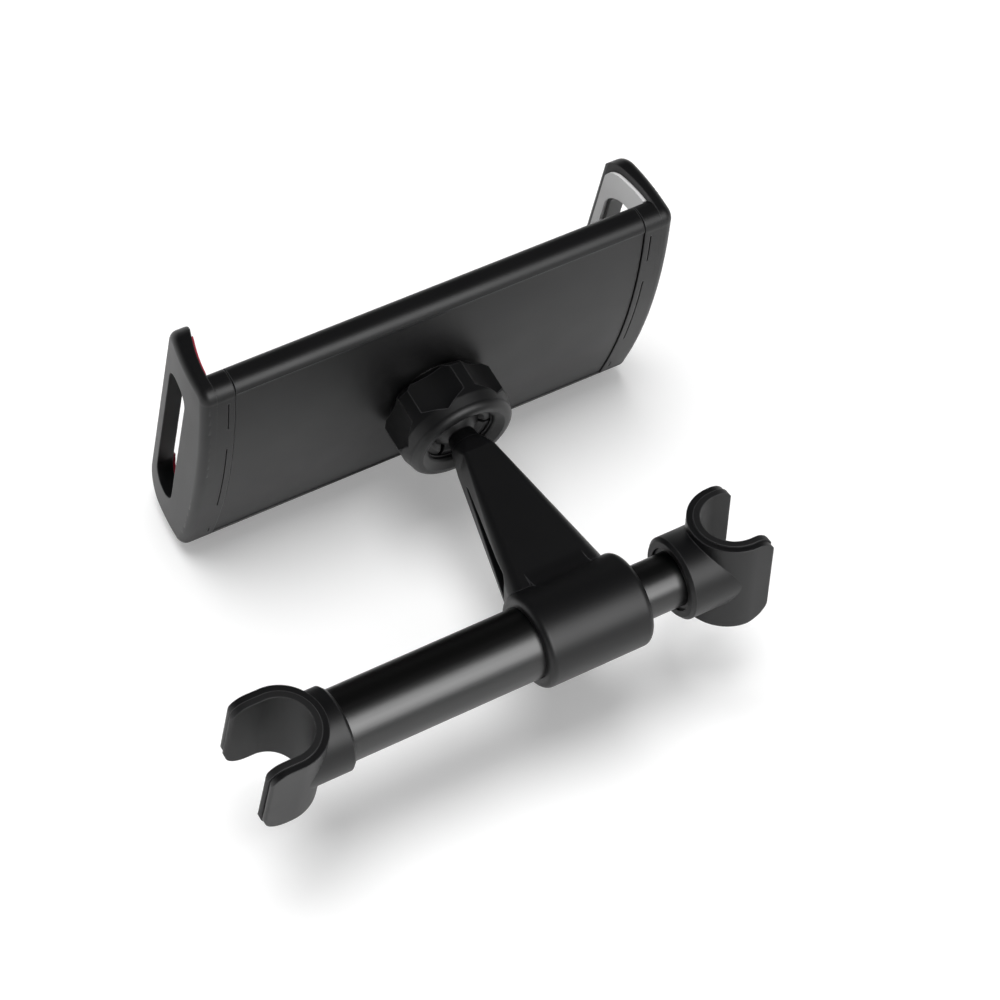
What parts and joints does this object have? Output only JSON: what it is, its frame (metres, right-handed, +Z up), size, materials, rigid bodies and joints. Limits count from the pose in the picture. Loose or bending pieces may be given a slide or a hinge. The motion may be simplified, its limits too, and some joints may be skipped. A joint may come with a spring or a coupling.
{
  "type": "headrest tablet mount",
  "caption": "Telescoping bar with open hooks for headrest posts, an arm with a locking ball joint, and a spring-jawed holder for a tablet.",
  "frame": {"origin": "the axis of the fixed hook's post bore at the height of the bar's axis", "axes": "+X along the bar to the sliding hook, +Y from the bar to the tablet holder, +Z up along the fixed hook's post"},
  "size_m": [0.1628, 0.1149, 0.0725],
  "materials": {
    "black_plastic": "fine-grained moulded black plastic",
    "black_tube": "satin black coated tube",
    "black_rubber": "soft black lining",
    "red_rubber": "crimson soft pad",
    "grey_rubber": "light grey soft pad",
    "slide_plastic": "slippery bearing plastic",
    "screw_steel": "blackened steel screws",
    "spring_steel": "spring wire"
  },
  "bodies": {
    "bar": {"outer_tube": "black_tube", "fixed_hook": "black_plastic", "fixed_hook_liner": "black_rubber", "arm_bracket": "black_plastic", "guide_bush": "slide_plastic", "bar_spring": "spring_steel"},
    "slider": {"inner_tube": "black_tube", "slide_bush": "slide_plastic"},
    "hook": {"sliding_hook": "black_plastic", "sliding_hook_liner": "black_rubber", "hook_bush": "slide_plastic"},
    "ball": {"ball": "black_plastic"},
    "cup": {"ball_cup": "slide_plastic"},
    "holder": {"ball_socket": "black_plastic", "back_cover": "black_plastic", "front_cover": "black_plastic", "cover_screws": "screw_steel", "socket_screws": "screw_steel", "front_pad_left": "black_rubber", "front_pad_right": "black_rubber"},
    "nut": {"locking_nut": "black_plastic"},
    "left_jaw": {"left_jaw": "black_plastic", "left_jaw_pad": "red_rubber", "left_jaw_spring": "spring_steel"},
    "right_jaw": {"right_jaw": "black_plastic", "right_jaw_pad": "grey_rubber", "right_jaw_spring": "spring_steel"}
  },
  "joints": [
    {"name": "bar_slide", "type": "slide", "parent": "bar", "child": "slider", "axis": [1, 0, 0], "range_m": [0, 0.04], "stiffness_N_per_m": 100, "springref_m": 0.06, "deforming": ["bar_spring"]},
    {"name": "hook_turn", "type": "hinge", "parent": "slider", "child": "hook", "pos_m": [0.131, 0, 0], "axis": [1, 0, 0], "range_deg": [-90, 90]},
    {"name": "head_pan", "type": "hinge", "parent": "bar", "child": "ball", "pos_m": [0.0859, 0.0668, 0], "axis": [0, 0, 1], "range_deg": [-15, 15]},
    {"name": "head_tilt", "type": "hinge", "parent": "ball", "child": "cup", "pos_m": [0.0859, 0.0668, 0], "axis": [1, 0, 0], "range_deg": [-15, 15]},
    {"name": "head_spin", "type": "hinge", "parent": "cup", "child": "holder", "pos_m": [0.0859, 0.0668, 0], "axis": [0, 1, 0], "continuous": true},
    {"name": "nut_turn", "type": "hinge", "parent": "holder", "child": "nut", "pos_m": [0.0859, 0.0668, 0], "axis": [0, 1, 0], "range_deg": [0, 270]},
    {"name": "left_jaw_slide", "type": "slide", "parent": "holder", "child": "left_jaw", "axis": [-1, 0, 0], "range_m": [0, 0.04], "stiffness_N_per_m": 150, "springref_m": -0.02, "deforming": ["left_jaw_spring"]},
    {"name": "right_jaw_slide", "type": "slide", "parent": "holder", "child": "right_jaw", "axis": [1, 0, 0], "range_m": [0, 0.04], "stiffness_N_per_m": 150, "springref_m": -0.02, "deforming": ["right_jaw_spring"]}
  ]
}
